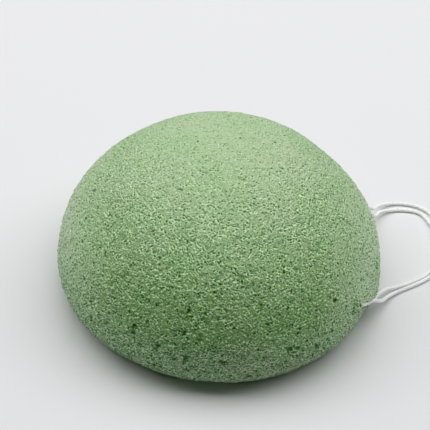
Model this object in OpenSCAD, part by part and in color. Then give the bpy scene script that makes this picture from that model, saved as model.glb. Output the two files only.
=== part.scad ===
// Konjac sponge: a half ball of porous foam with a flat base, and the doubled
// cotton cord that hangs it up. The cord runs through the foam near its edge, turns
// back inside it at the front, comes out in a crease, and is knotted outside into a loop.
// Millimetres. Origin at the centre of the flat base, Z up, X towards the cord.

/* [Sponge] */
// Diameter of the half ball where it is widest
sponge_d = 80; // [72:1:90]
// Height from the flat base to the crown
sponge_h = 40.6; // [36:0.2:48]
// Height at which the side is widest
rim_h = 8.4; // [7:0.1:9.4]
// How far the edge of the flat base stands in from the widest part
rim_inset = 6; // [3:0.5:9]
// How quickly the side leans in over the rim: 1 is an ellipse, more is leaner
side_lean = 1.09; // [0.9:0.01:1.2]
// How pointed the crown is: 1 is an ellipse, more is more pointed
crown_lean = 1.06; // [0.95:0.01:1.15]

/* [Cord] */
// Thickness of the cotton cord
cord_d = 1; // [0.8:0.1:1.2]
// Space between two strands that run side by side
strand_gap = 0.06; // [0.02:0.02:0.2]

/* [Way through the foam] */
// Height at which the cord comes out at the front, in its crease
crease_h = 11.6; // [10:0.2:14]
// Angle of that place round the sponge, from the middle of the cord's side
crease_angle = 30; // [26:1:36]
// Slope at which the cord runs down the side from the crease
lead_slope = 33; // [30:1:36]
// Length of the crease in the side of the foam
crease_len = 8; // [6:0.5:9]
// Height at which the cord comes out at the back
mouth_h = 9.4; // [8.8:0.2:12]
// Angle of that place round the sponge, from the middle of the cord's side
mouth_angle = 22; // [18:1:26]
// Radius of the cord's turn inside the foam
turn_r = 2.6; // [2.2:0.1:3]
// Slack in the foam round the two strands
way_slack = 0.25; // [0.15:0.05:0.4]
// Extra slack in the turn, where the cord has pressed the foam aside
turn_slack = 0.15; // [0.1:0.05:0.3]

/* [Loop outside the foam] */
// Distance from the widest part of the sponge to the line on which the loop swings
swing_out = 1; // [0.8:0.1:2]
// Height of that line above the base
swing_h = 3.4; // [3:0.1:4]
// Free space that each strand keeps from the swing line, along its own length
swing_gap = 0.4; // [0.35:0.05:0.6]
// Where the two front strands cross the swing line, measured along it from the middle
front_outer_y = -9.7; // [-11:0.1:-9]
front_inner_y = -6.7; // [-8:0.1:-6]
// Where the two back strands cross the swing line, measured along it from the middle
back_inner_y = 22; // [21:0.1:22.5]
back_outer_y = 25; // [24.5:0.1:26]

/* [Knot and tails] */
// Distance from the swing line to the near end of the knot
knot_out = 23.4; // [22.6:0.2:26]
// Length of the knot between its two ends
knot_len = 6; // [4.8:0.2:8]
// Thickness of the knot
knot_d = 5.4; // [4.8:0.2:6.6]
// Place of the knot along the swing line's direction
knot_y = 15; // [14:0.2:16]
// Slant of the knot's crossing turn
knot_tilt = 24; // [10:1:34]

/* [Hidden] */

sponge_r = sponge_d / 2;
cord_r = cord_d / 2;
strand_step = cord_d + strand_gap;
way_r = strand_step / 2 + cord_r + way_slack;
swing_x = sponge_r + swing_out;
cord_sides = 8;
outline_steps = 24;
turn_steps = 4;
way_lap = 0.4;

function unit(v) = v / norm(v);

// Radius of the sponge's side at a height above its widest part
function side_r(h) = sponge_r * pow(cos(asin(pow((h - rim_h) / (sponge_h - rim_h), 1 / crown_lean))), side_lean);

// A place on the sponge's side, at an angle round it and a height
function on_side(angle, h) = [side_r(h) * cos(angle), side_r(h) * sin(angle), h];

sponge_outline = concat(
    [[0, 0]],
    [for (i = [0:8]) let (t = 90 - i * 90 / 8)
        [sponge_r - rim_inset + rim_inset * cos(t), rim_h - rim_h * sin(t)]],
    [for (i = [1:outline_steps - 1]) let (t = i * 90 / outline_steps)
        [sponge_r * pow(cos(t), side_lean), rim_h + (sponge_h - rim_h) * pow(sin(t), crown_lean)]],
    [[0, sponge_h]]);

// The way through the foam. From the back mouth it runs straight to the front, turns
// back there on a circle in the plane of lead_dir and turn_dir, and leaves at crease_start.
crease_start = on_side(-crease_angle, crease_h);
lead_dir = [sin(crease_angle) * cos(lead_slope), cos(crease_angle) * cos(lead_slope), -sin(lead_slope)];
back_mouth = on_side(mouth_angle, mouth_h);
to_mouth = back_mouth - crease_start;
turn_dir = unit(to_mouth - (to_mouth * lead_dir) * lead_dir);
turn_normal = cross(lead_dir, turn_dir);
turn_centre = crease_start + turn_r * turn_dir;
mouth_flat = [to_mouth * lead_dir, to_mouth * turn_dir - turn_r];
turn_from = atan2(mouth_flat[1], mouth_flat[0]) + acos(turn_r / norm(mouth_flat));
turn_to = 270;
function on_turn(angle) = turn_centre + turn_r * (cos(angle) * lead_dir + sin(angle) * turn_dir);
turn_start = on_turn(turn_from);
way_dir = unit(back_mouth - turn_start);

// Where the strands cross the swing line
function swing_point(y) = [swing_x, y, swing_h];

// A strand's end near the swing line: a point, kept the free space and a length away from it
function from_swing(y, toward, away) = swing_point(y) + unit(toward - swing_point(y)) * away;

// Routes of the strands between the swing line and the knot, chosen by hand: the
// distance out from the swing line, the place along it, and the rise above lying flat.
front_outer_route = [[2.1, -6.3, 1.2], [4.1, -4, 0.3], [6.8, -2.1, 0], [10.2, 0.1, 0],
    [13.2, 2.5, 0], [15.6, 5.4, 0], [17.3, 9, 0.1], [18.9, 12.3, 0.6], [20.7, 14.1, 1.4]];
front_inner_route = [[1.8, -4.2, 1.6], [3.9, -2.4, 0.4], [6.6, -0.8, 0], [9.5, 1, 0],
    [12.2, 3.1, 0], [14.4, 5.9, 0.1], [15.9, 9.2, 0.6], [17.8, 12.6, 1.5], [20.1, 14.3, 2.3]];
back_inner_route = [[1.7, 25, 1.7], [3.8, 27.2, 0.5], [6.6, 28.3, 0], [9.8, 28.4, 0],
    [12.8, 27.6, 0], [14.5, 25.5, 0], [15.9, 22.4, 0.3], [18.2, 18.7, 1.5], [19.4, 17, 2.2], [21, 15.8, 2.6]];
back_outer_route = [[1.4, 27.4, 1.8], [3.4, 29.7, 0.6], [6.2, 30.9, 0], [9.6, 31, 0],
    [12.9, 30.1, 0], [15.6, 27.9, 0], [17.3, 24.4, 0], [18.6, 21, 0.2], [19.5, 17.1, 0.9], [20.6, 16, 1.4]];

// Route of the hanging loop, chosen by hand: the distance out from the knot's far
// end, the place to the side of the knot's middle, and the rise above lying flat.
loop_route = [[3, 0.9, 1.5], [6, 2.5, 0.7], [10, 5, 0], [15.5, 7.4, 0], [21.5, 7.8, 0],
    [26.6, 5.8, 0], [29.6, 1.6, 0], [29.6, -3.2, 0], [26.4, -7, 0], [21, -8.6, 0],
    [15, -7.8, 0], [10, -5.2, 0], [6, -2.7, 0.7], [3, -0.9, 1.5]];

// Routes of the two trimmed tails, measured in the same way
short_tail_route = [[3, -1.1, 2.6], [5.2, -2.9, 1.9], [7, -5.4, 0.8], [8, -7.4, 0.1]];
long_tail_route = [[3, 1.2, 2.7], [5.4, 3.2, 2.2], [7.6, 6.4, 1.1], [9, 9.6, 0.3], [9.8, 12, 0]];

knot_x = swing_x + knot_out;
knot_z = knot_d / 2;
half_step = strand_step / 2;

// A place on the knot's near (end = 0) or far (end = 1) face, one of four side by side
function on_knot(end, side, rise) = [knot_x + end * knot_len, knot_y + side * half_step,
    knot_z + rise * half_step];

function outside(route) = [for (p = route) [swing_x + p[0], p[1], cord_r + p[2]]];
function past_knot(route) = [for (p = route)
    [knot_x + knot_len + p[0], knot_y + p[1], cord_r + p[2]]];

// A strand from the swing line to the near face of the knot, narrow at the swing line
function free_strand(y, route, side, rise) = let (p = outside(route)) concat(
    [from_swing(y, p[0], swing_gap), from_swing(y, p[0], swing_gap + cord_r)], p,
    [on_knot(0, side, rise) - [cord_d, 0, 0], on_knot(0, side, rise)]);

// A strand in the foam: above (1) or below (-1) the middle of the way
function threaded_strand(level, front_y, back_y) =
    let (
        aside = level * half_step * turn_normal,
        lead_end = crease_start + crease_len * lead_dir + aside,
        mouth_end = back_mouth + 3 * cord_d * way_dir + aside)
    concat(
        [from_swing(front_y, lead_end, swing_gap), from_swing(front_y, lead_end, swing_gap + cord_r),
            lead_end],
        [for (i = [0:turn_steps]) on_turn(turn_to + (turn_from - turn_to) * i / turn_steps) + aside],
        [mouth_end, from_swing(back_y, mouth_end, swing_gap + cord_r),
            from_swing(back_y, mouth_end, swing_gap)]);

// A cord with a ring of corners at each point of its route
module swept(route, radii) {
    last = len(route) - 1;
    corners = [for (i = [0:last])
        let (
            before = unit(route[max(i, 1)] - route[max(i, 1) - 1]),
            after = unit(route[min(i, last - 1) + 1] - route[min(i, last - 1)]),
            along = unit(before + after),
            aside = unit(cross(along, [0, 0, 1])),
            above = cross(aside, along))
        for (k = [0:cord_sides - 1])
            let (a = k * 360 / cord_sides)
            route[i] + radii[i] * (cos(a) * aside + sin(a) * above)];
    polyhedron(corners, concat(
        [for (i = [0:last - 1], k = [0:cord_sides - 1])
            let (a = i * cord_sides + k, b = i * cord_sides + (k + 1) % cord_sides)
            [a, b, a + cord_sides]],
        [for (i = [0:last - 1], k = [0:cord_sides - 1])
            let (a = i * cord_sides + k, b = i * cord_sides + (k + 1) % cord_sides)
            [b, b + cord_sides, a + cord_sides]],
        [for (k = [1:cord_sides - 2]) [0, k + 1, k]],
        [for (k = [1:cord_sides - 2]) let (a = last * cord_sides) [a, a + k, a + k + 1]]));
}

// Radii of a strand that is narrow at one end or both
function narrow_first(count) = [for (i = [0:count - 1]) i == 0 ? cord_r / 2 : cord_r];
function narrow_both(count) = [for (i = [0:count - 1]) i == 0 || i == count - 1 ? cord_r / 2 : cord_r];
function even(count) = [for (i = [0:count - 1]) cord_r];

// A straight stretch of the cord's way, which laps a little into the turn before it
module straight_way(from, dir, length) {
    translate(from - way_lap * dir)
        rotate([0, acos(dir[2]), atan2(dir[1], dir[0])])
            cylinder(r = way_r, h = length + way_lap, $fn = 48);
}

// What the cord's way takes out of the foam
module cord_way() {
    straight_way(turn_start, way_dir, norm(back_mouth - turn_start) + 6 * cord_d);
    straight_way(crease_start, lead_dir, crease_len + 3 * cord_d);
    multmatrix([
        [lead_dir[0], turn_dir[0], turn_normal[0], turn_centre[0]],
        [lead_dir[1], turn_dir[1], turn_normal[1], turn_centre[1]],
        [lead_dir[2], turn_dir[2], turn_normal[2], turn_centre[2]],
        [0, 0, 0, 1]])
        rotate([0, 0, turn_from])
            rotate_extrude(angle = turn_to - turn_from, $fn = 48)
                translate([turn_r, 0])
                    circle(r = way_r + turn_slack);
}

module sponge_body() {
    color("#9DBB8D")
        difference() {
            rotate_extrude($fn = 96) polygon(sponge_outline);
            cord_way();
        }
}

module strand(route, radii) {
    color("#F1EFE6") swept(route, radii);
}

module threaded_upper_strand() {
    route = threaded_strand(1, front_outer_y, back_outer_y);
    strand(route, narrow_both(len(route)));
}

module threaded_lower_strand() {
    route = threaded_strand(-1, front_inner_y, back_inner_y);
    strand(route, narrow_both(len(route)));
}

module front_outer_strand() {
    route = free_strand(front_outer_y, front_outer_route, -1, -1);
    strand(route, narrow_first(len(route)));
}

module front_inner_strand() {
    route = free_strand(front_inner_y, front_inner_route, -1, 1);
    strand(route, narrow_first(len(route)));
}

module back_outer_strand() {
    route = free_strand(back_outer_y, back_outer_route, 1, -1);
    strand(route, narrow_first(len(route)));
}

module back_inner_strand() {
    route = free_strand(back_inner_y, back_inner_route, 1, 1);
    strand(route, narrow_first(len(route)));
}

// The pulled-tight overhand knot: a rounded barrel with the turn that crosses it
module cord_knot() {
    end_r = half_step * sqrt(2) + cord_r;
    turn_wire = knot_d / 6;
    belly_r = knot_d / 2 - turn_wire / 2;
    barrel = concat([[0, 0]],
        [for (i = [0:8]) [end_r + (belly_r - end_r) * pow(sin(i * 180 / 8), 0.7), i * knot_len / 8]],
        [[0, knot_len]]);
    color("#E9E6DA")
        translate([knot_x, knot_y, knot_z])
            rotate([0, 90, 0]) {
                rotate_extrude($fn = 48) polygon(barrel);
                translate([0, 0, knot_len / 2])
                    rotate([knot_tilt, 0, 0])
                        rotate_extrude($fn = 48)
                            translate([knot_d / 2 - turn_wire, 0]) circle(r = turn_wire);
            }
}

module hanging_loop() {
    route = concat([on_knot(1, 1, -1), on_knot(1, 1, -1) + [cord_d, 0, 0]],
        past_knot(loop_route),
        [on_knot(1, -1, -1) + [cord_d, 0, 0], on_knot(1, -1, -1)]);
    strand(route, even(len(route)));
}

module short_tail() {
    route = concat([on_knot(1, -1, 1), on_knot(1, -1, 1) + [cord_d, 0, 0]], past_knot(short_tail_route));
    strand(route, even(len(route)));
}

module long_tail() {
    route = concat([on_knot(1, 1, 1), on_knot(1, 1, 1) + [cord_d, 0, 0]], past_knot(long_tail_route));
    strand(route, even(len(route)));
}

sponge_body();
threaded_upper_strand();
threaded_lower_strand();
front_outer_strand();
front_inner_strand();
back_outer_strand();
back_inner_strand();
cord_knot();
hanging_loop();
short_tail();
long_tail();
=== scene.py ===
import math

import bpy
import numpy as np
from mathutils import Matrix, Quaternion, Vector


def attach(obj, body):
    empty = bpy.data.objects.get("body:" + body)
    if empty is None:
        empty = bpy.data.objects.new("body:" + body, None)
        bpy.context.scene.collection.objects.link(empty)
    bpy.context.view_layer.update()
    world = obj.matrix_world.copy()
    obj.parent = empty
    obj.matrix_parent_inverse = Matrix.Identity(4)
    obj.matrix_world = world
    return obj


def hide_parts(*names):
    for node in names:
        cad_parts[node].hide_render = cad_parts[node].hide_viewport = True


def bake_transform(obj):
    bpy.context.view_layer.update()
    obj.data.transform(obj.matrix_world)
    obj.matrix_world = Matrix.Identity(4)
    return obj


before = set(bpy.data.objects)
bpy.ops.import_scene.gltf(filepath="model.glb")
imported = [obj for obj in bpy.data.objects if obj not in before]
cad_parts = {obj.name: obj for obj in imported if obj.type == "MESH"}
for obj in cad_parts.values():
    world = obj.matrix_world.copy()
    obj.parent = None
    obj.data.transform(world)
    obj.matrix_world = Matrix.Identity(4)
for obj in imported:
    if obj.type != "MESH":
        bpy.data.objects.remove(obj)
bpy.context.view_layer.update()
print("frame loaded:", len(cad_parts), "solids")

scene = bpy.context.scene

cameraPlace = {
    "aim": (0.0, 0.0, 0.015),
    "elevation": 42.0,  # degrees above the table
    "distance": 0.30,
    "roll": 3.36,
    "lens": 101.8,
    "shiftX": -0.0107,
    "shiftY": 0.0344,
}


def placeCamera(place):
    tilt = math.radians(place["elevation"])
    back = Vector((0.0, -math.cos(tilt), math.sin(tilt)))
    data = bpy.data.cameras.new("tableCamera")
    data.lens = place["lens"]
    data.sensor_width = 36.0
    data.shift_x = place["shiftX"]
    data.shift_y = place["shiftY"]
    data.clip_start = 0.01
    data.clip_end = 20.0
    camera = bpy.data.objects.new("tableCamera", data)
    scene.collection.objects.link(camera)
    camera.location = Vector(place["aim"]) + back * place["distance"]
    camera.rotation_mode = "QUATERNION"
    level = (-back).to_track_quat("-Z", "Y")
    camera.rotation_quaternion = level @ Quaternion((0, 0, 1), math.radians(place["roll"]))
    scene.camera = camera


placeCamera(cameraPlace)
print("camera placed")


# materials are built from small helpers, so that each one reads as a list of what it mixes

def newMaterial(name):
    material = bpy.data.materials.new(name)
    material.use_nodes = True
    tree = material.node_tree
    tree.nodes.clear()
    output = tree.nodes.new("ShaderNodeOutputMaterial")
    shader = tree.nodes.new("ShaderNodeBsdfPrincipled")
    tree.links.new(shader.outputs["BSDF"], output.inputs["Surface"])
    return material, tree, shader


def feed(tree, socket, value):
    # a worked out value is linked, and a plain number or colour is set on the socket itself
    if isinstance(value, bpy.types.NodeSocket):
        tree.links.new(value, socket)
    elif value is not None:
        socket.default_value = value


def addNode(tree, kind, settings=None, **sockets):
    node = tree.nodes.new(kind)
    for key, value in (settings or {}).items():
        setattr(node, key, value)
    for key, value in sockets.items():
        feed(tree, node.inputs[key], value)
    return node


def fade(tree, value, low, high, outLow=0.0, outHigh=1.0):
    node = tree.nodes.new("ShaderNodeMapRange")
    feed(tree, node.inputs["Value"], value)
    for key, number in (("From Min", low), ("From Max", high), ("To Min", outLow), ("To Max", outHigh)):
        node.inputs[key].default_value = number
    return node.outputs["Result"]


def maths(tree, operation, first, second=None):
    node = addNode(tree, "ShaderNodeMath", {"operation": operation})
    feed(tree, node.inputs[0], first)
    feed(tree, node.inputs[1], second)
    return node.outputs[0]


def times(tree, first, second):
    return maths(tree, "MULTIPLY", first, second)


def plus(tree, first, second):
    return maths(tree, "ADD", first, second)


def vectors(tree, operation, first, second=None, scale=None):
    node = addNode(tree, "ShaderNodeVectorMath", {"operation": operation})
    feed(tree, node.inputs[0], first)
    feed(tree, node.inputs[1], second)
    if scale is not None:
        feed(tree, node.inputs["Scale"], scale)
    return node.outputs["Value" if operation in ("DOT_PRODUCT", "LENGTH") else "Vector"]


def noise(tree, place, scale, detail, distortion=0.0):
    return addNode(
        tree, "ShaderNodeTexNoise", Vector=place, Scale=scale, Detail=detail, Distortion=distortion).outputs


def cellNoise(tree, place, scale, feature):
    return addNode(tree, "ShaderNodeTexVoronoi", {"feature": feature}, Vector=place, Scale=scale).outputs


def blendColours(tree, amount, first, second, how="MIX"):
    node = addNode(tree, "ShaderNodeMix", {"data_type": "RGBA", "blend_type": how})
    feed(tree, node.inputs[0], amount)
    for socket, colour in ((node.inputs[6], first), (node.inputs[7], second)):
        feed(tree, socket, colour if isinstance(colour, bpy.types.NodeSocket) else (*colour, 1.0))
    return node.outputs[2]


def setFinish(tree, shader, finish):
    for name, value in finish.items():
        feed(tree, shader.inputs[name], value)


def addRelief(tree, shader, height, depth, strength):
    bump = addNode(tree, "ShaderNodeBump", Strength=strength, Distance=depth, Height=height)
    tree.links.new(bump.outputs["Normal"], shader.inputs["Normal"])


# the cord's routes are the points of the solids, in metres

swingX, swingZ = 0.041, 0.0034
cord = {
    "thickness": 0.001,
    "gap": 0.00006,  # between two strands side by side
    "plies": 3,
    "twist": 0.0043,  # length of one full turn of a ply
    "groove": 0.26,  # depth between the plies, as a share of the radius
    "lumps": 0.012,  # thicker and thinner stretches, as a share of the radius
    "fuzz": 0.012,  # and the roughness of its fibres
    "ringStep": 0.00020,
    "around": 18,
}
halfStep = (cord["thickness"] + cord["gap"]) / 2
cordRadius = cord["thickness"] / 2

frontOuter = [
    (0.0021, -0.0063, 0.0012), (0.0041, -0.0040, 0.0003), (0.0068, -0.0021, 0), (0.0102, 0.0001, 0),
    (0.0132, 0.0025, 0), (0.0156, 0.0054, 0), (0.0173, 0.0090, 0.0001), (0.0189, 0.0123, 0.0006),
    (0.0207, 0.0141, 0.0014)]
frontInner = [
    (0.0018, -0.0042, 0.0016), (0.0039, -0.0024, 0.0004), (0.0066, -0.0008, 0), (0.0095, 0.0010, 0),
    (0.0122, 0.0031, 0), (0.0144, 0.0059, 0.0001), (0.0159, 0.0092, 0.0006), (0.0178, 0.0126, 0.0015),
    (0.0201, 0.0143, 0.0023)]
backInner = [
    (0.0017, 0.0250, 0.0017), (0.0038, 0.0272, 0.0005), (0.0066, 0.0283, 0), (0.0098, 0.0284, 0),
    (0.0128, 0.0276, 0), (0.0145, 0.0255, 0), (0.0159, 0.0224, 0.0003), (0.0182, 0.0187, 0.0015),
    (0.0194, 0.0170, 0.0022), (0.0210, 0.0158, 0.0026)]
backOuter = [
    (0.0014, 0.0274, 0.0018), (0.0034, 0.0297, 0.0006), (0.0062, 0.0309, 0), (0.0096, 0.0310, 0),
    (0.0129, 0.0301, 0), (0.0156, 0.0279, 0), (0.0173, 0.0244, 0), (0.0186, 0.0210, 0.0002),
    (0.0195, 0.0171, 0.0009), (0.0206, 0.0160, 0.0014)]
loopRoute = [
    (0.0030, 0.0009, 0.0015), (0.0060, 0.0025, 0.0007), (0.0100, 0.0050, 0), (0.0155, 0.0074, 0),
    (0.0215, 0.0078, 0), (0.0266, 0.0058, 0), (0.0296, 0.0016, 0), (0.0296, -0.0032, 0),
    (0.0264, -0.0070, 0), (0.0210, -0.0086, 0), (0.0150, -0.0078, 0), (0.0100, -0.0052, 0),
    (0.0060, -0.0027, 0.0007), (0.0030, -0.0009, 0.0015)]
shortTailRoute = [
    (0.0030, -0.0011, 0.0026), (0.0052, -0.0029, 0.0019), (0.0070, -0.0054, 0.0008),
    (0.0080, -0.0074, 0.0001)]
longTailRoute = [
    (0.0030, 0.0012, 0.0027), (0.0054, 0.0032, 0.0022), (0.0076, 0.0064, 0.0011), (0.0090, 0.0096, 0.0003),
    (0.0098, 0.0120, 0)]

swingPlaces = {"frontOuter": -0.0097, "frontInner": -0.0067, "backInner": 0.0220, "backOuter": 0.0250}
knot = {"x": 0.0644, "y": 0.0150, "z": 0.0027, "length": 0.0060, "size": 0.00178}

# the cord's way through the foam: where the crease starts, which way it leads,
# the turn inside and the mouth at the back
wayThrough = {
    "creaseHeight": 0.0116,
    "creaseAngle": 30.0,
    "leadSlope": 33.0,
    "creaseLength": 0.0080,
    "mouthHeight": 0.0094,
    "mouthAngle": 22.0,
    "turnRadius": 0.0026,
}

sponge = {
    "radius": 0.040,
    "height": 0.0406,
    "rimHeight": 0.0084,
    "rimInset": 0.006,
    "sideLean": 1.09,
    "crownLean": 1.06,
}


def sideRadius(height):
    share = (height - sponge["rimHeight"]) / (sponge["height"] - sponge["rimHeight"])
    climb = math.asin(share ** (1 / sponge["crownLean"]))
    return sponge["radius"] * math.cos(climb) ** sponge["sideLean"]


def onSide(angle, height):
    turn = math.radians(angle)
    reach = sideRadius(height)
    return np.array([reach * math.cos(turn), reach * math.sin(turn), height])


def unit(vector):
    return vector / np.linalg.norm(vector)


slope = math.radians(wayThrough["leadSlope"])
heading = math.radians(wayThrough["creaseAngle"])
creaseStart = onSide(-wayThrough["creaseAngle"], wayThrough["creaseHeight"])
leadDir = np.array([
    math.sin(heading) * math.cos(slope), math.cos(heading) * math.cos(slope), -math.sin(slope)])
backMouth = onSide(wayThrough["mouthAngle"], wayThrough["mouthHeight"])
toMouth = backMouth - creaseStart
turnDir = unit(toMouth - (toMouth @ leadDir) * leadDir)
turnNormal = np.cross(leadDir, turnDir)
turnRadius = wayThrough["turnRadius"]
turnCentre = creaseStart + turnRadius * turnDir
mouthFlat = np.array([toMouth @ leadDir, toMouth @ turnDir - turnRadius])
turnStart = math.radians(270)  # here the turn leaves the crease, in line with it
turnEnd = math.atan2(mouthFlat[1], mouthFlat[0]) + math.acos(turnRadius / np.linalg.norm(mouthFlat))


def onTurn(angle):
    return turnCentre + turnRadius * (math.cos(angle) * leadDir + math.sin(angle) * turnDir)


wayDir = unit(backMouth - onTurn(turnEnd))


def smoothLine(points, step):
    pts = np.array(points, float)
    ends = np.vstack([2 * pts[0] - pts[1], pts, 2 * pts[-1] - pts[-2]])
    line = []
    for i in range(1, len(ends) - 2):
        a, b, c, d = ends[i - 1:i + 3]
        gaps = [max(np.linalg.norm(q - p), 1e-9) ** 0.5 for p, q in ((a, b), (b, c), (c, d))]
        t = np.cumsum([0] + gaps)
        count = max(2, int(np.linalg.norm(c - b) / step))
        for u in np.linspace(t[1], t[2], count, endpoint=False):
            ab = (t[1] - u) / t[1] * a + u / t[1] * b
            bc = (t[2] - u) / (t[2] - t[1]) * b + (u - t[1]) / (t[2] - t[1]) * c
            cd = (t[3] - u) / (t[3] - t[2]) * c + (u - t[2]) / (t[3] - t[2]) * d
            abc = (t[2] - u) / t[2] * ab + u / t[2] * bc
            bcd = (t[3] - u) / (t[3] - t[1]) * bc + (u - t[1]) / (t[3] - t[1]) * cd
            line.append((t[2] - u) / (t[2] - t[1]) * abc + (u - t[1]) / (t[2] - t[1]) * bcd)
    line.append(pts[-1])
    line = np.array(line)
    line[:, 2] = np.maximum(line[:, 2], cordRadius)
    return line


def swingPoint(name):
    return np.array([swingX, swingPlaces[name], swingZ])


def outside(route):
    return [np.array([swingX + x, y, cordRadius + z]) for x, y, z in route]


def pastKnot(route):
    return [np.array([knot["x"] + knot["length"] + x, knot["y"] + y, cordRadius + z]) for x, y, z in route]


def onKnot(end, side, rise):
    return np.array([
        knot["x"] + end * knot["length"], knot["y"] + side * halfStep, knot["z"] + rise * halfStep])


straightOut = np.array([cord["thickness"], 0, 0])


def wholeString(level, front, frontName, back, backName, rise):
    # from the knot along the front, through the foam and back along the rear to the knot
    aside = level * halfStep * turnNormal
    leadEnd = creaseStart + wayThrough["creaseLength"] * leadDir + aside
    leadStart = creaseStart + 0.0004 * leadDir + aside
    turns = [onTurn(angle) + aside for angle in np.linspace(turnStart, turnEnd, 11)]
    middle = onTurn(turnEnd) + 0.5 * (backMouth - onTurn(turnEnd)) + aside
    mouthEnd = backMouth + 3 * cord["thickness"] * wayDir + aside
    points = [onKnot(0, -1, rise), onKnot(0, -1, rise) - straightOut, *outside(front)[::-1]]
    points += [swingPoint(frontName), leadEnd, leadStart, *turns, middle, mouthEnd, swingPoint(backName)]
    points += [*outside(back), onKnot(0, 1, rise) - straightOut, onKnot(0, 1, rise)]
    return smoothLine(points, cord["ringStep"])


def lineFromKnot(side, rise, route):
    return [onKnot(1, side, rise), onKnot(1, side, rise) + straightOut, *pastKnot(route)]


def lineLength(line):
    return float(np.linalg.norm(np.diff(line, axis=0), axis=1).sum())


def evenSteps(line, step):
    along = np.concatenate([[0], np.cumsum(np.linalg.norm(np.diff(line, axis=0), axis=1))])
    places = np.linspace(0, along[-1], max(4, int(along[-1] / step) + 1))
    return np.stack([np.interp(places, along, line[:, k]) for k in range(3)], 1), places


def carriedSides(line):
    # a side and an upper direction at each point, carried along without any twist of their own
    ahead = np.gradient(line, axis=0)
    ahead /= np.linalg.norm(ahead, axis=1, keepdims=True)
    side = unit(np.cross(ahead[0], [0, 0, 1]))
    sides = []
    for direction in ahead:
        side = unit(side - (side @ direction) * direction)
        sides.append(side)
    sides = np.array(sides)
    return sides, np.cross(sides, ahead)


def meshPiece(name, vertices, faces, material, smooth=True):
    mesh = bpy.data.meshes.new(name)
    mesh.from_pydata(np.asarray(vertices).tolist(), [], [list(map(int, face)) for face in faces])
    mesh.update()
    if smooth:
        mesh.polygons.foreach_set("use_smooth", [True] * len(mesh.polygons))
    mesh.materials.append(material)
    piece = bpy.data.objects.new(name, mesh)
    scene.collection.objects.link(piece)
    return piece


def twistedStrand(line, seed, startAngle=0.0):
    # rings of a three ply string, which is thin and round between its plies
    line, along = evenSteps(line, cord["ringStep"])
    sides, ups = carriedSides(line)
    count, around = len(line), cord["around"]
    spread = 25  # rings that one lump reaches over
    chance = np.random.default_rng(seed)
    window = np.ones(spread) / math.sqrt(spread)
    lumps = np.convolve(chance.normal(0, 1, count + spread - 1), window, "valid")
    fuzz = chance.normal(0, cord["fuzz"], (count, around))
    angle = np.arange(around) * 2 * math.pi / around
    turn = startAngle + 2 * math.pi * along / cord["twist"]
    ply = np.abs(np.cos(cord["plies"] * (angle[None] - turn[:, None]) / 2)) ** 0.75
    radius = cordRadius * (1 - cord["groove"] * (1 - ply) + cord["lumps"] * lumps[:, None] + fuzz)
    radius = np.minimum(radius, cordRadius * 1.02)
    rings = line[:, None] + radius[..., None] * (
        np.cos(angle)[None, :, None] * sides[:, None] + np.sin(angle)[None, :, None] * ups[:, None])
    vertices = np.vstack([rings.reshape(-1, 3), line[0], line[-1]])
    first, last = len(vertices) - 2, len(vertices) - 1
    faces = []
    for ring in range(0, (count - 1) * around, around):
        after = ring + around
        for k in range(around):
            other = (k + 1) % around
            faces.append((ring + k, ring + other, after + other, after + k))
    for k in range(around):
        other = (k + 1) % around
        faces.append((first, other, k))
        faces.append((last, (count - 1) * around + k, (count - 1) * around + other))
    return vertices, faces


def layMap(piece, places):
    # the flat layout that the piece's colours are baked on, one place for each corner of each face
    layer = piece.data.uv_layers.new(name="OFBake")
    layer.data.foreach_set("uv", np.asarray(places, np.float32).reshape(-1))


def onCircle(place, around):
    turn = 2 * math.pi * place / around
    return math.cos(turn), math.sin(turn)


def stringMap(steps):
    # the tubes slit open and laid in rows side by side, with their ends in a row of their own
    around, total = cord["around"], sum(steps)
    rows = max(1, round(math.sqrt(total * cord["ringStep"] / (2 * math.pi * cordRadius))))
    inRow, tall, places, done = math.ceil(total / rows), 1 / (rows + 1), [], 0
    for number, count in enumerate(steps):
        for step in range(done, done + count):
            row, place = divmod(step, inRow)
            left, right = [0.004 + 0.992 * (place + k) / inRow for k in (0, 1)]
            for k in range(around):
                low, high = [(row + 0.06 + 0.88 * (k + more) / around) * tall for more in (0, 1)]
                places += [(left, low), (left, high), (right, high), (right, low)]
        done += count
        slot = 0.5 / len(steps)
        size = 0.4 * min(slot, tall)
        for k in range(around):
            rim = [onCircle(k, around), onCircle(k + 1, around)]
            for end, corners in enumerate((rim[::-1], rim)):
                middle = ((2 * number + end + 0.5) * slot, 1 - tall / 2)
                places += [middle, *[(middle[0] + size * x, middle[1] + size * y) for x, y in corners]]
    return places


def cordPiece(name, lines, material, seed):
    vertices, faces, steps, base = [], [], [], 0
    for number, line in enumerate(lines):
        part, partFaces = twistedStrand(line, seed + number, startAngle=number * 1.3)
        faces += [tuple(base + v for v in face) for face in partFaces]
        vertices.append(part)
        steps.append((len(part) - 2) // cord["around"] - 1)
        base += len(part)
    piece = meshPiece(name, np.vstack(vertices), faces, material)
    layMap(piece, stringMap(steps))
    return piece


cottonLook = {
    "thread": (0.985, 0.98, 0.965),
    # a slightly greyer thread, in random patches
    "greyerThread": (0.945, 0.94, 0.92),
    "fibre": 9000.0,  # fibres to a metre, across the thread
    "relief": 0.00008,
}


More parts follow.
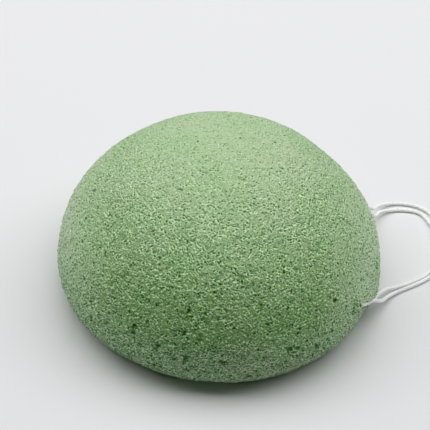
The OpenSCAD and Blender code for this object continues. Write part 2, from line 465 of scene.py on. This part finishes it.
def cottonThread(look):
    material, tree, shader = newMaterial("cottonThread")
    place = addNode(tree, "ShaderNodeTexCoord").outputs["Object"]
    patches = noise(tree, place, 900.0, 3.0)["Fac"]
    fibres = noise(tree, place, look["fibre"], 2.0)["Fac"]
    amount = fade(tree, times(tree, patches, fibres), 0.12, 0.36)
    setFinish(tree, shader, {
        "Base Color": blendColours(tree, amount, look["greyerThread"], look["thread"]),
        "Roughness": fade(tree, fibres, 0.3, 0.7, 0.72, 0.95),
        "Sheen Weight": 0.35,
        "Sheen Roughness": 0.4,
        "Subsurface Weight": 0.5,
        "Subsurface Radius": (1.0, 1.0, 0.9),
        "Subsurface Scale": 0.0008,
    })
    addRelief(tree, shader, fibres, look["relief"], 0.5)
    return material


outerLine = wholeString(1, frontOuter, "frontOuter", backOuter, "backOuter", -1)
innerLine = wholeString(-1, frontInner, "frontInner", backInner, "backInner", 1)
loopEnd = onKnot(1, -1, -1)
loopLine = smoothLine([*lineFromKnot(1, -1, loopRoute), loopEnd + straightOut, loopEnd], cord["ringStep"])
shortLine = smoothLine(lineFromKnot(-1, 1, shortTailRoute), cord["ringStep"])
longLine = smoothLine(lineFromKnot(1, 1, longTailRoute), cord["ringStep"])

# the overhand knot: one line of an open knot in units of its own thickness, which four strands follow
knotLine = [
    (-1.75, 0, 0), (-1.30, 0, 0.03), (-0.90, -0.06, 0.03), (-0.50, -0.17, -0.03), (-0.10, -0.47, -0.33),
    (0.31, -0.37, -0.74), (0.70, 0.03, -0.90), (0.95, 0.53, -0.75), (0.98, 0.91, -0.30),
    (0.79, 0.96, 0.25), (0.49, 0.70, 0.68), (0.16, 0.25, 0.86), (-0.16, -0.25, 0.86),
    (-0.49, -0.70, 0.68), (-0.79, -0.96, 0.25), (-0.98, -0.91, -0.30), (-0.95, -0.53, -0.75),
    (-0.70, -0.03, -0.90), (-0.31, 0.37, -0.74), (0.10, 0.47, -0.33), (0.50, 0.17, -0.03),
    (0.90, 0.06, 0.03), (1.30, 0, 0.03), (1.75, 0, 0)]


def knotStrands():
    middle = np.array([knot["x"] + knot["length"] / 2, knot["y"], knot["z"]])
    reach = -knotLine[0][0]
    scale = np.array([knot["length"] / 2 / reach, knot["size"], knot["size"] * 0.98])
    line = smoothLine([middle + scale * np.array(p) for p in knotLine], cord["ringStep"])
    line, along = evenSteps(line, cord["ringStep"])
    sides, ups = carriedSides(line)
    share = along / along[-1]
    # the bundle turns a little as it goes, so that it ends square to the loop and the tails
    endTurn = math.atan2(sides[-1] @ ups[0], sides[-1] @ sides[0])
    quarter = round(endTurn / (math.pi / 2)) * math.pi / 2
    turn = -(endTurn - quarter) * share
    strands = []
    for u, v in ((-1, -1), (1, -1), (1, 1), (-1, 1)):
        across = halfStep * (u * np.cos(turn) - v * np.sin(turn))
        over = halfStep * (u * np.sin(turn) + v * np.cos(turn))
        strand = line + across[:, None] * sides + over[:, None] * ups
        strand[:, 2] = np.maximum(strand[:, 2], cordRadius)
        strands.append(strand)
    return strands


cottonMaterial = cottonThread(cottonLook)
outerString = cordPiece("outerString", [outerLine], cottonMaterial, 11)
innerString = cordPiece("innerString", [innerLine], cottonMaterial, 23)
hangingLoop = cordPiece("hangingLoop", [loopLine], cottonMaterial, 37)
shortTail = cordPiece("shortTail", [shortLine], cottonMaterial, 41)
longTail = cordPiece("longTail", [longLine], cottonMaterial, 53)
overhandKnot = cordPiece("overhandKnot", knotStrands(), cottonMaterial, 61)

for string in (outerString, innerString):
    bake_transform(string)
for string in (hangingLoop, shortTail, longTail, overhandKnot):
    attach(string, "cord_loop")
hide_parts("threaded_upper_strand", "front_outer_strand", "back_outer_strand")
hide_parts("threaded_lower_strand", "front_inner_strand", "back_inner_strand")
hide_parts("hanging_loop")
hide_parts("short_tail")
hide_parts("long_tail")
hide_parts("cord_knot")
lengths = [round(lineLength(line), 4) for line in (outerLine, innerLine, loopLine)]
print("cord made: strings of", lengths, "m")


# smooth and cellular noise on points, for the foam's own shape

def scatter(corners, seed):
    # four numbers from 0 to 1 for each corner of a grid, always the same ones for the same seed
    grid = corners.astype(np.int64)
    mixed = (grid[..., 0] * 73856093) ^ (grid[..., 1] * 19349663) ^ (grid[..., 2] * 83492791)
    mixed = mixed ^ (seed * 2654435761)
    values = []
    for turn in range(4):
        mixed = (mixed ^ (mixed >> 15)) * 2246822519 & 0xFFFFFFFF
        mixed = (mixed ^ (mixed >> 13)) * 3266489917 & 0xFFFFFFFF
        values.append(((mixed ^ (mixed >> 16)) & 0xFFFF) / 65535.0)
    return np.stack(values, -1)


def softNoise(points, size, seed):
    scaled = points / size
    low = np.floor(scaled)
    part = scaled - low
    part = part * part * (3 - 2 * part)
    total = np.zeros(len(points))
    for corner in np.ndindex(2, 2, 2):
        weight = np.prod([part[:, k] if corner[k] else 1 - part[:, k] for k in range(3)], axis=0)
        total += weight * scatter(low + np.array(corner), seed)[:, 0]
    return total * 2 - 1


def cells(points, size, seed):
    # how far the nearest and the second nearest cell's middle is, in cells, and the nearest one's numbers
    scaled = points / size
    low = np.floor(scaled)
    nearest = np.full(len(points), 9.0)
    second = np.full(len(points), 9.0)
    own = np.zeros((len(points), 4))
    for step in np.ndindex(3, 3, 3):
        cell = low + np.array(step) - 1
        random = scatter(cell, seed)
        away = np.linalg.norm(cell + random[:, :3] - scaled, axis=1)
        closer = away < nearest
        second = np.where(closer, nearest, np.minimum(second, away))
        own[closer] = random[closer]
        nearest = np.where(closer, away, nearest)
    return nearest, second, own


def ramp(values, low, high):
    share = np.clip((values - low) / (high - low), 0, 1)
    return share * share * (3 - 2 * share)


def hump(values, width):
    return np.exp(-(values / width) ** 2)


foam = {
    "across": 220,  # faces along each of the six sheets that wrap the half ball
    "baseShare": 0.15,  # how dense the faces on the flat base are
    "skin": 0.00014,  # how far the skin stands out of the plain form
    "cellSize": 0.00100,
    "cellDepth": 0.00038,
    "poreSpacing": 0.0030,
    "poreShareLow": 0.58,  # how many of the large pores are open near the rim
    "poreShareHigh": 0.16,  # and near the crown
    "poreDepth": 0.00045,
    "grainSize": 0.00080,  # the broken cell walls that stand out of the skin
    "grainRise": 0.00034,
}


def halfBallSheets(across):
    # six square sheets of a ball, joined where they meet
    line = np.tan(np.linspace(-1, 1, across + 1) * math.pi / 4)
    u, v = np.meshgrid(line, line, indexing="ij")
    one = np.ones_like(u)
    sheets = [(one, u, v), (-one, v, u), (v, one, u), (u, -one, v), (u, v, one), (v, u, -one)]
    points = np.vstack([np.stack(sheet, -1).reshape(-1, 3) for sheet in sheets])
    points /= np.linalg.norm(points, axis=1, keepdims=True)
    rounded = np.round(points * 1e6).astype(np.int64)
    first, index = np.unique(rounded, axis=0, return_index=True, return_inverse=True)[1:]
    index = index.reshape(-1)
    grid = np.arange((across + 1) ** 2).reshape(across + 1, across + 1)
    quads = np.stack([grid[:-1, :-1], grid[1:, :-1], grid[1:, 1:], grid[:-1, 1:]], -1).reshape(-1, 4)
    faces = np.vstack([index[quads + sheet * (across + 1) ** 2] for sheet in range(6)])
    return points[first], faces


def sheetMap(across):
    # the six sheets laid flat, three in a row
    low, high = 0.006, 0.988
    line = np.linspace(0, 1, across + 1)
    grids = np.meshgrid(line, line, indexing="ij")
    corners = [
        np.stack([grid[a:across + a, b:across + b] for grid in grids], -1)
        for a, b in ((0, 0), (1, 0), (1, 1), (0, 1))]
    square = np.stack(corners, 2).reshape(-1, 2) * high + low
    return np.vstack([(square + np.array([sheet % 3, sheet // 3])) * [1 / 3, 1 / 2] for sheet in range(6)])


def foamOutline():
    # radius and height from the crown down the side, round the rim and in to the middle of the base
    climb = np.linspace(math.pi / 2, 0, 400)
    radius, rimHeight, inset = sponge["radius"], sponge["rimHeight"], sponge["rimInset"]
    sideRadii = radius * np.cos(climb) ** sponge["sideLean"]
    sideRadii[0] = 0
    sideHeights = rimHeight + (sponge["height"] - rimHeight) * np.sin(climb) ** sponge["crownLean"]
    side = np.stack([sideRadii, sideHeights], 1)
    roll = np.linspace(0, math.pi / 2, 60)[1:]
    rim = np.stack([radius - inset + inset * np.cos(roll), rimHeight * (1 - np.sin(roll))], 1)
    inward = np.linspace(radius - inset, 0, 120)[1:]
    base = np.stack([inward, np.zeros_like(inward)], 1)
    return np.vstack([side, rim, base]), len(side) + len(rim)


def foamSurface():
    directions, faces = halfBallSheets(foam["across"])
    outline, baseFrom = foamOutline()
    pieces = np.diff(outline, axis=0)
    steps = np.linalg.norm(pieces, axis=1)
    along = np.concatenate([[0], np.cumsum(steps)])
    middle = (outline[1:, 0] + outline[:-1, 0]) / 2
    weight = np.where(np.arange(len(steps)) >= baseFrom - 1, foam["baseShare"], 1.0)
    area = np.concatenate([[0], np.cumsum(steps * middle * weight)])
    share = (1 - directions[:, 2]) / 2
    place = np.interp(share * area[-1], area, along)
    radius = np.interp(place, along, outline[:, 0])
    height = np.interp(place, along, outline[:, 1])
    tangent = np.gradient(outline, along, axis=0)
    outR = np.interp(place, along, -tangent[:, 1])
    outZ = np.interp(place, along, tangent[:, 0])
    flat = np.maximum(np.hypot(directions[:, 0], directions[:, 1]), 1e-9)
    cosine, sine = directions[:, 0] / flat, directions[:, 1] / flat
    points = np.stack([radius * cosine, radius * sine, height], 1)
    normals = np.stack([outR * cosine, outR * sine, outZ], 1)
    normals /= np.maximum(np.linalg.norm(normals, axis=1, keepdims=True), 1e-9)
    return points, normals, faces


def foamPits(points):
    # how deep each point lies in the small cells and in the large pores, in metres
    low = ramp(points[:, 2], 0.026, 0.008)
    warp = np.stack([softNoise(points, 0.0011, 7 + k) for k in range(3)], 1) * 0.00032
    near, second, own = cells(points + warp, foam["cellSize"], 3)
    openness = 0.15 + 1.0 * own[:, 3] ** 1.6
    small = ramp(second - near, 0.05, 0.50) * openness * foam["cellDepth"] * (0.65 + 0.35 * low)
    near, second, own = cells(points + warp * 1.4, foam["poreSpacing"], 19)
    openShare = foam["poreShareHigh"] + (foam["poreShareLow"] - foam["poreShareHigh"]) * low
    size = (0.10 + 0.17 * own[:, 0] ** 2.2) * (0.7 + 0.4 * low)
    bowl = ramp(near / size, 1.25, 0.45) * size * foam["poreSpacing"] * 1.5
    large = np.where(own[:, 3] < openShare, bowl, 0)
    return small, np.minimum(large, foam["poreDepth"])


def foamGrain(points):
    # the crown is smoother, and nothing stands out where the strings leave the foam
    low = ramp(points[:, 2], 0.037, 0.014)
    near, second, own = cells(points, foam["grainSize"], 47)
    clear = ramp(np.linalg.norm(points - creaseStart, axis=1), 0.004, 0.010)
    clear *= ramp(np.linalg.norm(points - backMouth, axis=1), 0.002, 0.005)
    return foam["grainRise"] * ramp(near, 0.55, 0.12) * own[:, 3] ** 1.4 * clear * (0.25 + 0.75 * low)


crease = {
    "from": 0.0007,  # where the groove opens, along the strings' way
    "to": 0.0115,
    "grooveDepth": 0.0009,
    "lipRise": 0.00075,
    "lipHang": 0.00020,  # how far the lip leans down over the string
    "lipWidth": 0.0026,
    "coverRise": 0.0009,  # the foam that closes over the strings where they go in
    "underRise": 0.00012,  # a slight swelling below the strings
    "mouthDepth": 0.0007,  # the dimple that the strings leave by at the back
    "mouthWidth": 0.0018,
}


def creasePlaces(points, normals):
    # each point's place along the strings' way at the front, and above it on the surface
    along = (points - creaseStart) @ leadDir
    upward = unit(np.array([0, 0, 1.0]) - leadDir * leadDir[2])
    nearest = creaseStart + np.clip(along, -0.0026, crease["to"])[:, None] * leadDir
    away = points - nearest
    flat = away - np.einsum("ij,ij->i", away, normals)[:, None] * normals
    return along, flat @ upward, np.linalg.norm(away, axis=1), upward


def creaseShape(points, normals):
    # the groove that holds the two strings at the front, with the full lip that leans over it
    along, above, away, upward = creasePlaces(points, normals)
    start, end = crease["from"], crease["to"]
    close = ramp(away, 0.006, 0.003)
    ends = ramp(along, start, start + 0.0010) * ramp(along, end + 0.002, end - 0.001)
    groove = crease["grooveDepth"] * ramp(above, 0.00075, 0.0003) * ramp(above, -0.0017, -0.0007)
    groove = groove * ends * ramp(away, 0.003, 0.0018)
    lipEnds = ramp(along, -0.0060, -0.0016) * ramp(along, end + 0.006, end - 0.002)
    overLip = np.maximum(above - 0.0009, 0)
    lipSide = ramp(above, 0.0003, 0.0009) * hump(overLip, crease["lipWidth"])
    lip = crease["lipRise"] * lipEnds * lipSide * ramp(away, 0.010, 0.004)
    cover = crease["coverRise"] * hump(along + 0.0017, 0.0015) * hump(above + 0.0002, 0.0016) * close
    under = crease["underRise"] * hump(above + 0.0022, 0.0009) * ends * close
    rise = np.maximum(lip, cover) + under - groove
    hang = crease["lipHang"] * lipEnds * ramp(above, 0.0004, 0.0009) * hump(overLip, 0.0016) * close
    toBack = np.linalg.norm(points - backMouth, axis=1)
    dimple = crease["mouthDepth"] * hump(toBack, crease["mouthWidth"])
    return normals * (rise - dimple)[:, None] - upward * hang[:, None]


# the dome is not quite round: places that stand a little out of it or lie a little in
swells = [
    # angle and height of the middle, how far it spreads in degrees and in metres, rise in metres
    (35, 0.0255, 24, 0.010, -0.00050),
    (138, 0.0265, 24, 0.010, -0.00026),
    (-178, 0.0115, 15, 0.007, -0.00042),
    (-24, 0.0052, 9, 0.005, -0.00042),
    (-12, 0.0088, 6, 0.004, 0.00034),
]
ripples = [
    # rise in metres, size in metres, seed
    (0.00012, 0.009, 31),
    (0.00008, 0.0035, 32),
    (0.00009, 0.0011, 33),
]


def uneven(points):
    angle = np.degrees(np.arctan2(points[:, 1], points[:, 0]))
    rise = np.zeros(len(points))
    for middle, height, wide, tall, amount in swells:
        aside = (angle - middle + 180) % 360 - 180
        rise += amount * hump(aside, wide) * hump(points[:, 2] - height, tall)
    for amount, size, seed in ripples:
        rise += amount * softNoise(points, size, seed)
    return rise


foamLook = {
    "skin": (0.255, 0.490, 0.150),
    "crown": (0.495, 0.675, 0.380),  # painted light: the top is paler, as the light from above makes it look
    "sides": (0.79, 0.95, 0.68),  # painted light: and so are the left and right sides, for the haze of the light at their edges
    "footBounce": (0.52, 0.82, 0.45),  # painted light: paler and greyer near the table, for the light the table throws back
    # painted shade: the deep green of the cells' hollows, the pores and the pits
    "pitShade": (0.022, 0.175, 0.006),
    # painted highlights on the lit lower lips of the cells, paler near the table and at the top
    "lipHighlight": (0.67, 0.98, 0.51),
    "crownWall": (0.78, 1.0, 0.62),
    "footLipHighlight": (0.78, 1.0, 0.64),
    # painted glints: small pale specks on the cell edges
    "glint": (0.84, 1.0, 0.71),
    "cells": 1680.0,  # cells to a metre
    "fineCells": 2400.0,
    "pores": 640.0,
    "bend": 0.0006,  # how far the cells are bent out of shape, in metres
    "relief": 0.00018,
}


def openCells(tree, look, place):
    # the bent places, the distances to the walls of the cells and of the fine cells,
    # a number of each cell's own, and how high a point lies in its cell
    bent = vectors(tree, "SCALE", noise(tree, place, 1600.0, 2.0)["Color"], scale=look["bend"])
    bent = vectors(tree, "ADD", bent, place)
    edge = cellNoise(tree, bent, look["cells"], "DISTANCE_TO_EDGE")["Distance"]
    own = cellNoise(tree, bent, look["cells"], "F1")
    fine = cellNoise(tree, bent, look["fineCells"], "DISTANCE_TO_EDGE")["Distance"]
    numbers = addNode(tree, "ShaderNodeSeparateColor", Color=own["Color"]).outputs
    # upward along the surface, leaning to either side by chance; each cell's painted light and shade follow
    # it
    facing = addNode(tree, "ShaderNodeTexCoord").outputs["Normal"]
    upright = (0.0, 0.45, 1.0)
    outward = vectors(tree, "SCALE", facing, scale=vectors(tree, "DOT_PRODUCT", facing, upright))
    uphill = vectors(tree, "NORMALIZE", vectors(tree, "SUBTRACT", upright, outward))
    sideways = vectors(tree, "CROSS_PRODUCT", facing, uphill)
    lean = vectors(tree, "SCALE", sideways, scale=fade(tree, numbers[1], 0.1, 0.9, -1.1, 1.1))
    uphill = vectors(tree, "NORMALIZE", vectors(tree, "ADD", uphill, lean))
    fromMiddle = vectors(tree, "SUBTRACT", bent, own["Position"])
    fromMiddle = vectors(tree, "SCALE", fromMiddle, scale=look["cells"])
    return bent, edge, fine, numbers[0], vectors(tree, "DOT_PRODUCT", fromMiddle, uphill)


def openPores(tree, look, bent, height):
    # round openings between the cells, some of them closed by chance, and none at the crown
    pores = cellNoise(tree, bent, look["pores"], "F1")
    chance = addNode(tree, "ShaderNodeSeparateColor", Color=pores["Color"]).outputs[0]
    opened = times(tree, fade(tree, pores["Distance"], 0.25, 0.15), fade(tree, chance, 0.45, 0.70))
    return times(tree, opened, fade(tree, height, 0.037, 0.026))


def coarseness(tree, aside, depth, height):
    # how strong the texture is: nearly closed at the crown, most open at the foot,
    # and fainter at the sides and toward the back
    closed = fade(tree, height, 0.0405, 0.033, 0.42, 1.0)
    opened = plus(tree, closed, fade(tree, height, 0.018, 0.003, 0.0, 1.10))
    opened = times(tree, opened, fade(tree, aside, 0.024, 0.040, 1.0, 0.80))
    return times(tree, opened, fade(tree, depth, 0.016, -0.006, 0.62, 0.96))


def skinColour(tree, look, aside, height):
    # painted light: the skin is paler at the left and right sides and at the top, and paler and greyer near
    # the table
    skin = blendColours(tree, fade(tree, aside, 0.024, 0.0405), look["skin"], look["sides"])
    skin = blendColours(tree, fade(tree, height, 0.021, 0.036), skin, look["crown"])
    return blendColours(tree, fade(tree, height, 0.017, 0.004), skin, look["footBounce"])


def lipHighlightColour(tree, look, height):
    # painted highlight colour of the lit lips, paler near the table and at the top
    lipHighlight = blendColours(tree, fade(tree, height, 0.016, 0.004), look["lipHighlight"], look["footLipHighlight"])
    return blendColours(tree, fade(tree, height, 0.026, 0.036), lipHighlight, look["crownWall"])


def foamMaterial(look):
    material, tree, shader = newMaterial("konjacFoam")
    place = addNode(tree, "ShaderNodeTexCoord").outputs["Object"]
    x, depth, height = addNode(tree, "ShaderNodeSeparateXYZ", Vector=place).outputs
    aside = maths(tree, "ABSOLUTE", x)
    pitShade = addNode(tree, "ShaderNodeAttribute", {"attribute_name": "pitShade"}).outputs["Fac"]
    bent, edge, fine, chance, upInCell = openCells(tree, look, place)
    pores = openPores(tree, look, bent, height)
    coarse = coarseness(tree, aside, depth, height)
    grain = noise(tree, place, 3300.0, 2.0)["Fac"]
    folds = noise(tree, place, 1900.0, 1.0, distortion=0.6)["Fac"]
    drift = noise(tree, place, 70.0, 2.0)["Fac"]

    # painted shade: the hollows of the cells are darkened to deep green, most of all on their upper side,
    # and so are the pores and the pits of the mesh
    hollow = times(tree, fade(tree, edge, 0.10, 0.24), fade(tree, upInCell, -0.20, 0.05, 0.1, 1.0))
    fineHollow = fade(tree, fine, 0.03, 0.25)
    openness = fade(tree, chance, 0.32, 0.70, 0.06, 1.0)
    openness = plus(tree, openness, fade(tree, height, 0.012, 0.004, 0.0, 0.25))
    sunk = times(tree, times(tree, hollow, openness), coarse)
    sunk = plus(tree, times(tree, sunk, 0.92), times(tree, times(tree, pores, 0.60), coarse))
    fineDeep = times(tree, times(tree, fineHollow, 0.42), coarse)
    deep = plus(tree, times(tree, sunk, 1.60), plus(tree, times(tree, pitShade, 0.80), fineDeep))
    skin = skinColour(tree, look, aside, height)
    base = blendColours(tree, fade(tree, deep, 0.08, 0.82), skin, look["pitShade"])

    # painted highlight: the lower lip of each open cell, which faces the light from above, is made pale
    lip = times(tree, fade(tree, edge, 0.32, 0.14), fade(tree, upInCell, -0.04, -0.24))
    fineRidge = fade(tree, fine, 0.24, 0.06)
    fold = times(tree, fade(tree, folds, 0.37, 0.48), fade(tree, folds, 0.63, 0.52))
    edges = plus(tree, lip, plus(tree, times(tree, fineRidge, 0.15), times(tree, fold, 0.10)))
    outsidePit = fade(tree, pitShade, 0.8, 0.1)
    bright = times(tree, fade(tree, chance, 0.30, 0.65, 0.08, 1.0), edges)
    litRims = times(tree, times(tree, bright, outsidePit), fade(tree, pores, 0.6, 0.1))
    highlighted = blendColours(tree, times(tree, litRims, coarse), base, lipHighlightColour(tree, look, height))
    # painted glints: small pale specks on the cell edges
    spark = times(tree, fade(tree, grain, 0.54, 0.62), fade(tree, edges, 0.35, 0.80))
    whole = blendColours(tree, times(tree, spark, outsidePit), highlighted, look["glint"])
    tint = blendColours(tree, fade(tree, drift, 0.35, 0.65), (0.94, 1.0, 0.93), (1.04, 1.0, 1.03))

    setFinish(tree, shader, {
        "Base Color": blendColours(tree, 1.0, whole, tint, "MULTIPLY"),
        "Roughness": fade(tree, grain, 0.35, 0.65, 0.22, 0.42),
        "Specular IOR Level": fade(tree, litRims, 0.15, 0.7, 0.05, 0.55),
        "Specular Tint": (0.86, 1.0, 0.78, 1.0),
        "Sheen Weight": fade(tree, deep, 0.05, 0.45, 1.0, 0.05),
        "Sheen Roughness": 0.40,
        "Sheen Tint": (0.90, 1.0, 0.84, 1.0),
        "Subsurface Weight": 0.10,
        "Subsurface Radius": (0.6, 1.0, 0.4),
        "Subsurface Scale": 0.0020,
    })
    lowered = plus(tree, times(tree, sunk, -1.0), times(tree, fineHollow, -0.30))
    lifted = plus(tree, times(tree, grain, 0.30), times(tree, fold, 0.35))
    addRelief(tree, shader, plus(tree, lowered, lifted), look["relief"], 1.0)
    return material


def makeFoam():
    points, normals, faces = foamSurface()
    small, large = foamPits(points)
    onBase = ramp(points[:, 2], 0.0006, 0.0)
    standing = (uneven(points) + foamGrain(points)) * (1 - onBase)
    moved = foam["skin"] + standing - small - large
    moved = np.where(points[:, 2] < 0.00001, -np.abs(small + large), moved)
    shaped = points + normals * moved[:, None] + creaseShape(points, normals)
    shaped[:, 2] = np.maximum(shaped[:, 2], 0.0)
    body = meshPiece("foamBody", shaped, faces, foamMaterial(foamLook))
    layMap(body, sheetMap(foam["across"]))
    # how deep each point lies, from 0 to 1, for the painted shade in the pits
    pitValue = np.clip(0.38 * small / (foam["cellDepth"] * 1.1) + 0.95 * large / 0.0008, 0, 1)
    attribute = body.data.attributes.new("pitShade", "FLOAT", "POINT")
    attribute.data.foreach_set("value", pitValue.astype(np.float32))
    return body


foamBody = makeFoam()
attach(foamBody, "sponge")
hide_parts("sponge_body")
print("foam made:", len(foamBody.data.polygons), "faces")

tableLook = {
    "colour": (0.76, 0.76, 0.775),
    "size": 3.0,
    "far": (0.80, 0.80, 0.82),  # what the table fades to, away from the sponge
    "fadeFrom": 0.20,
    "fadeTo": 0.42,
}


def seenRay(tree):
    # 1 for a ray from the camera, straight or by way of a shine or something clear
    rays = addNode(tree, "ShaderNodeLightPath").outputs
    seen = maths(tree, "MAXIMUM", rays["Is Camera Ray"], rays["Is Glossy Ray"])
    return maths(tree, "MAXIMUM", seen, rays["Is Transmission Ray"])


def mixShaders(tree, amount, first, second, output):
    mixed = addNode(tree, "ShaderNodeMixShader")
    for socket, value in zip(mixed.inputs, (amount, first, second)):
        tree.links.new(value, socket)
    tree.links.new(mixed.outputs[0], output.inputs["Surface"])


def paleTable(look):
    material, tree, shader = newMaterial("paleTable")
    place = addNode(tree, "ShaderNodeTexCoord").outputs["Object"]
    cloud = noise(tree, place, 14.0, 2.0)["Fac"]
    near = [c * 0.985 for c in look["colour"]]
    setFinish(tree, shader, {
        "Base Color": blendColours(tree, cloud, near, look["colour"]),
        "Roughness": 0.55,
    })
    away = fade(tree, vectors(tree, "LENGTH", place), look["fadeFrom"], look["fadeTo"])
    backdrop = addNode(tree, "ShaderNodeEmission", Color=(*look["far"], 1.0), Strength=1.0)
    output = next(node for node in tree.nodes if node.type == "OUTPUT_MATERIAL")
    fading = times(tree, away, seenRay(tree))
    mixShaders(tree, fading, shader.outputs["BSDF"], backdrop.outputs[0], output)
    return material


half = tableLook["size"] / 2
tableCorners = [(-half, -half, 0), (half, -half, 0), (half, half, 0), (-half, half, 0)]
table = meshPiece("tableTop", tableCorners, [(0, 1, 2, 3)], paleTable(tableLook))

skyPanel = {
    "place": (-0.03, 0.18, 0.60),
    "aim": (-0.03, 0.18, 0.0),
    "width": 2.20,
    "depth": 0.50,
    "watts": 10.2,
}


def hangLamp(name, look):
    data = bpy.data.lights.new(name, "AREA")
    data.shape = "RECTANGLE"
    data.size, data.size_y, data.energy = look["width"], look["depth"], look["watts"]
    lamp = bpy.data.objects.new(name, data)
    scene.collection.objects.link(lamp)
    lamp.location = look["place"]
    lamp.rotation_mode = "QUATERNION"
    lamp.rotation_quaternion = (Vector(look["aim"]) - Vector(look["place"])).to_track_quat("-Z", "Y")


airLook = {
    "tint": (0.95, 0.97, 1.0),
    "strength": 0.026,
}


def fillAir(look, seen):
    # a little light from all round, and the backdrop's colour where the camera looks past the table
    world = bpy.data.worlds.new("studioAir")
    scene.world = world
    world.use_nodes = True
    tree = world.node_tree
    tree.nodes.clear()
    output = tree.nodes.new("ShaderNodeOutputWorld")
    lightAir = addNode(tree, "ShaderNodeBackground", Color=(*look["tint"], 1.0), Strength=look["strength"])
    seenAir = addNode(tree, "ShaderNodeBackground", Color=(*seen, 1.0), Strength=1.0)
    mixShaders(tree, seenRay(tree), lightAir.outputs[0], seenAir.outputs[0], output)


hangLamp("skyPanel", skyPanel)
fillAir(airLook, tableLook["far"])
scene.view_settings.view_transform = "Standard"
print("table and lamps placed")
